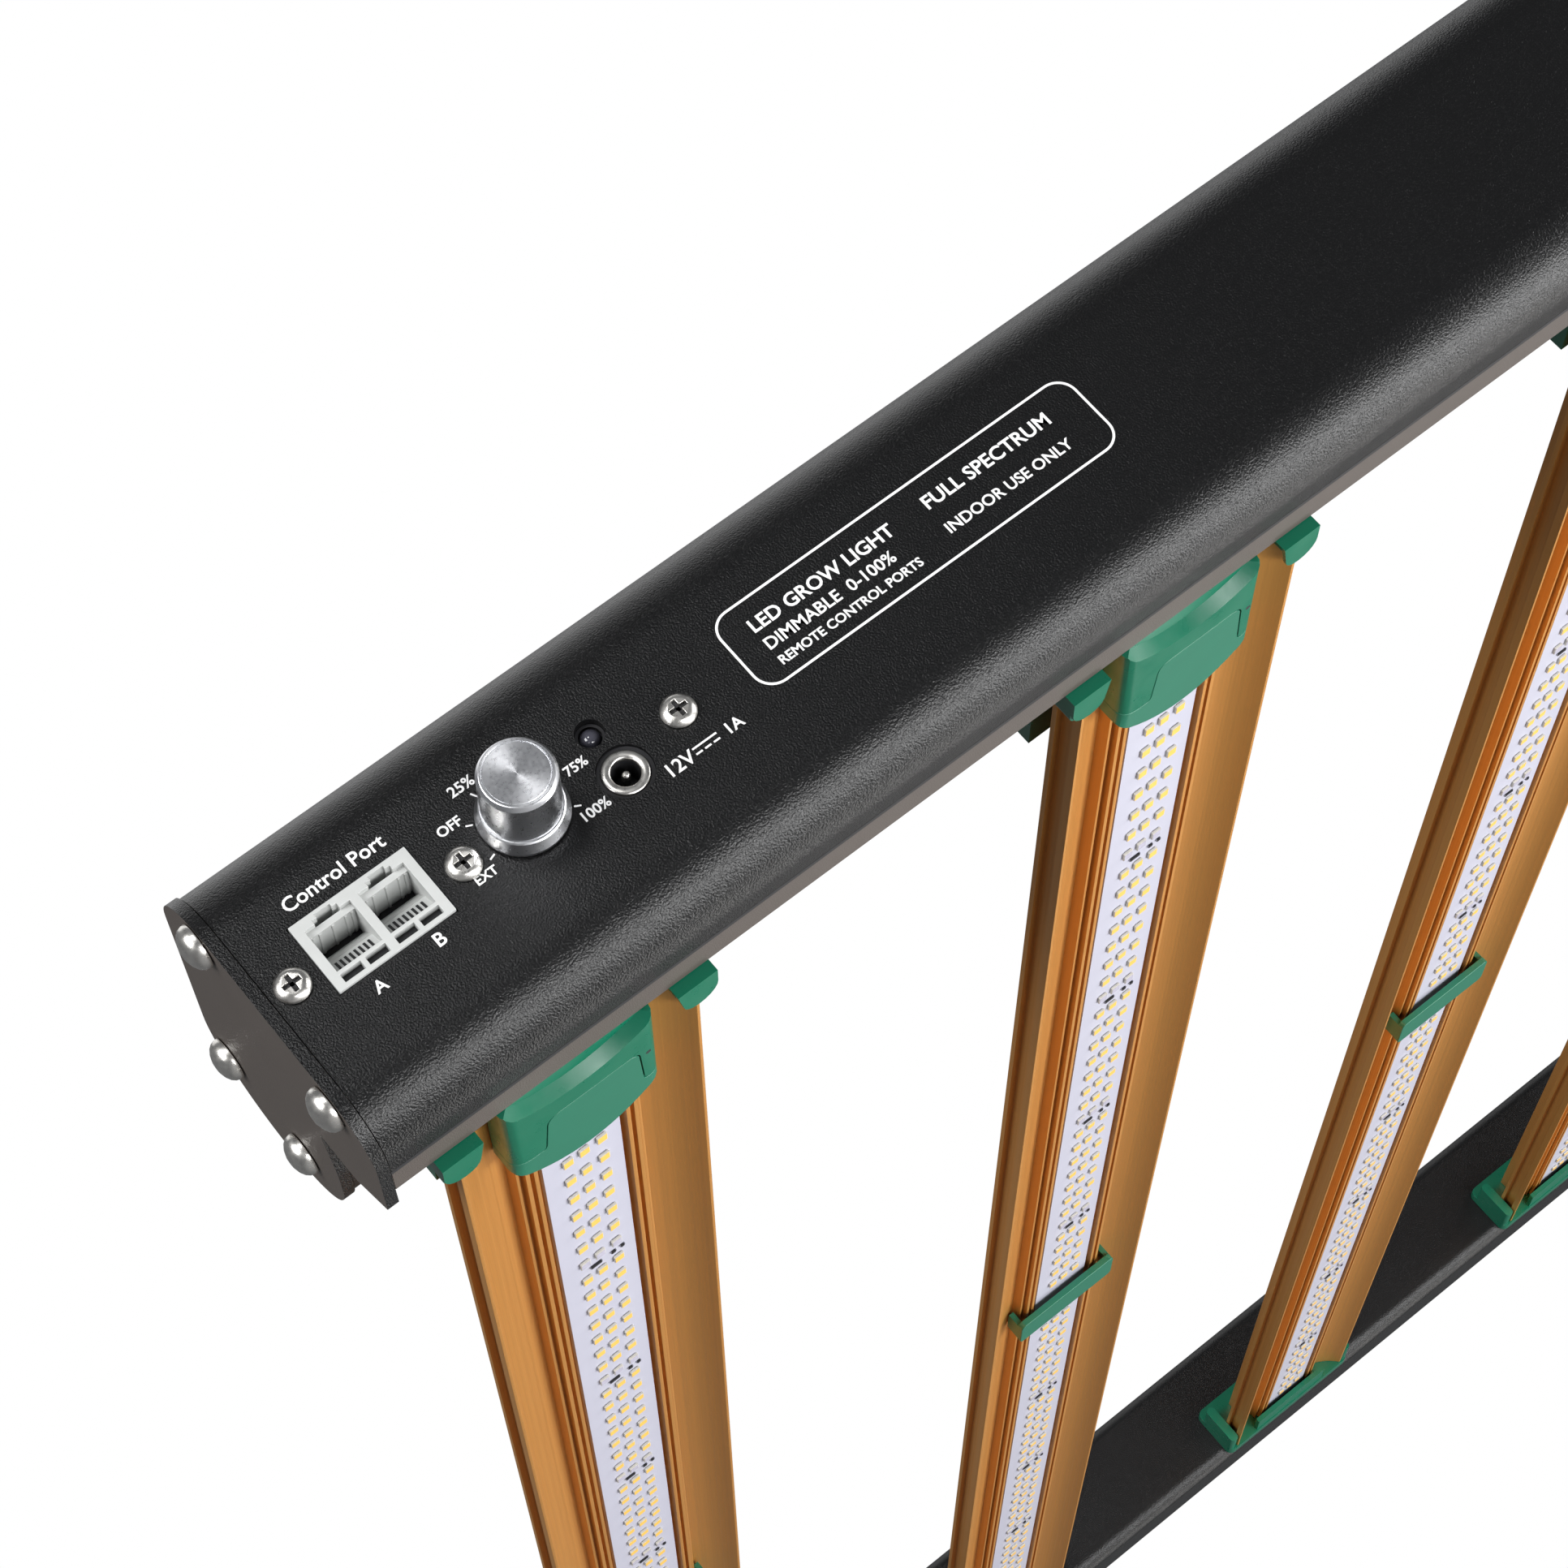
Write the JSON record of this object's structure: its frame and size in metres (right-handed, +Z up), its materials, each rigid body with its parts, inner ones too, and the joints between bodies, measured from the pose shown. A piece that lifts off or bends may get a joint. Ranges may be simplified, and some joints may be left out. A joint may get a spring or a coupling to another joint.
{
  "type": "led grow light",
  "caption": "hanging LED grow light: a driver housing with a dimmer and control ports carries latched light bars joined by a far rail",
  "frame": {"origin": "middle of the housing's flat top face", "axes": "X along the housing, Y from the control panel towards the far rail along the bars, Z up, LEDs facing -Z"},
  "size_m": [1.0121, 1.0851, 0.095],
  "materials": {
    "housing_black": "bead-blasted, black anodised",
    "housing_edge": "bead-blasted, dark anodised",
    "bright_steel": "polished nickel plate",
    "knob_aluminium": "spun, knurled sides",
    "bar_anodised": "gold anodised",
    "led_board": "white solder mask",
    "green_plastic": "moulded, satin",
    "jack_plastic": "moulded",
    "black_plastic": "moulded",
    "led_lens": "tinted lens",
    "circuit": "solder mask"
  },
  "bodies": {
    "fixture": {"housing_shell": "housing_black", "base_cover": "housing_edge", "end_plate_left": "housing_edge", "end_plate_right": "housing_edge", "end_screw_1": "bright_steel", "end_screw_2": "bright_steel", "end_screw_3": "bright_steel", "end_screw_4": "bright_steel", "panel_screw_1": "bright_steel", "panel_screw_2": "bright_steel", "panel_screw_3": "bright_steel", "control_jack": "jack_plastic", "dc_jack": "bright_steel", "status_led": "led_lens", "dimmer_pot": "black_plastic", "control_board": "circuit", "driver_module": "black_plastic", "mains_inlet": "black_plastic", "light_bar_1": "bar_anodised", "led_board_1": "led_board", "bar_socket_1": "green_plastic", "board_clip_1": "green_plastic", "far_coupler_1": "green_plastic", "light_bar_2": "bar_anodised", "led_board_2": "led_board", "bar_socket_2": "green_plastic", "board_clip_2": "green_plastic", "far_coupler_2": "green_plastic", "light_bar_3": "bar_anodised", "led_board_3": "led_board", "bar_socket_3": "green_plastic", "board_clip_3": "green_plastic", "far_coupler_3": "green_plastic", "light_bar_4": "bar_anodised", "led_board_4": "led_board", "bar_socket_4": "green_plastic", "board_clip_4": "green_plastic", "far_coupler_4": "green_plastic", "light_bar_5": "bar_anodised", "led_board_5": "led_board", "bar_socket_5": "green_plastic", "board_clip_5": "green_plastic", "far_coupler_5": "green_plastic", "light_bar_6": "bar_anodised", "led_board_6": "led_board", "bar_socket_6": "green_plastic", "board_clip_6": "green_plastic", "far_coupler_6": "green_plastic", "far_rail": "housing_black", "hanger_front_left": "bright_steel", "hanger_front_right": "bright_steel", "hanger_back_left": "bright_steel", "hanger_back_right": "bright_steel"},
    "dimmer_knob": {"dimmer_knob": "knob_aluminium"},
    "bar_latch_1": {"bar_latch_1": "green_plastic"},
    "bar_latch_2": {"bar_latch_2": "green_plastic"},
    "bar_latch_3": {"bar_latch_3": "green_plastic"},
    "bar_latch_4": {"bar_latch_4": "green_plastic"},
    "bar_latch_5": {"bar_latch_5": "green_plastic"},
    "bar_latch_6": {"bar_latch_6": "green_plastic"}
  },
  "joints": [
    {"name": "dimmer_turn", "type": "hinge", "parent": "fixture", "child": "dimmer_knob", "pos_m": [-0.4252, -0.0465, -0.0374], "axis": [0, 1, 0], "range_deg": [-45, 183]},
    {"name": "latch_slide_1", "type": "slide", "parent": "fixture", "child": "bar_latch_1", "axis": [0, 1, 0], "range_m": [0, 0.0045], "stiffness_N_per_m": 400, "springref_m": -0.002},
    {"name": "latch_slide_2", "type": "slide", "parent": "fixture", "child": "bar_latch_2", "axis": [0, 1, 0], "range_m": [0, 0.0045], "stiffness_N_per_m": 400, "springref_m": -0.002},
    {"name": "latch_slide_3", "type": "slide", "parent": "fixture", "child": "bar_latch_3", "axis": [0, 1, 0], "range_m": [0, 0.0045], "stiffness_N_per_m": 400, "springref_m": -0.002},
    {"name": "latch_slide_4", "type": "slide", "parent": "fixture", "child": "bar_latch_4", "axis": [0, 1, 0], "range_m": [0, 0.0045], "stiffness_N_per_m": 400, "springref_m": -0.002},
    {"name": "latch_slide_5", "type": "slide", "parent": "fixture", "child": "bar_latch_5", "axis": [0, 1, 0], "range_m": [0, 0.0045], "stiffness_N_per_m": 400, "springref_m": -0.002},
    {"name": "latch_slide_6", "type": "slide", "parent": "fixture", "child": "bar_latch_6", "axis": [0, 1, 0], "range_m": [0, 0.0045], "stiffness_N_per_m": 400, "springref_m": -0.002}
  ]
}
